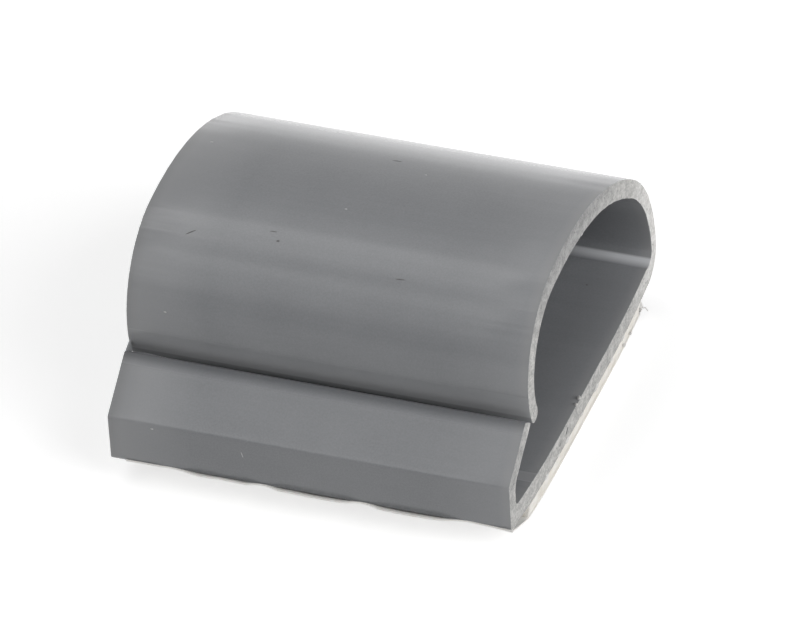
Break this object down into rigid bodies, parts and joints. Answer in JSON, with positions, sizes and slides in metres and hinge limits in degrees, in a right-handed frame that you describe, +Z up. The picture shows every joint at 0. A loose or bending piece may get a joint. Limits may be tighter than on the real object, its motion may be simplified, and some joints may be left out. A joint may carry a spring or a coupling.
{
  "type": "adhesive-backed wire clip",
  "caption": "Short plastic channel with a springy arched flap that overlaps a sloping front flange, to hold wires on a surface by a foam tape strip under its base.",
  "frame": {"origin": "centre of the footprint, on the surface the clip rests on, at the underside of the release liner", "axes": "+X along the extrusion and the wires, +Y from the front wall and flange to the rear hinge, +Z up from the base to the crest of the arch"},
  "size_m": [0.0254, 0.0274, 0.015],
  "materials": {
    "grey_pvc": "extruded grey PVC, satin, with faint lengthwise lines and rough saw-cut ends",
    "cream_foam": "matte closed-cell foam tape, cut edges",
    "liner_paper": "thin coated release paper, off-white"
  },
  "bodies": {
    "root": {"clip_body": "grey_pvc", "foam_tape": "cream_foam", "release_liner": "liner_paper"}
  },
  "joints": []
}
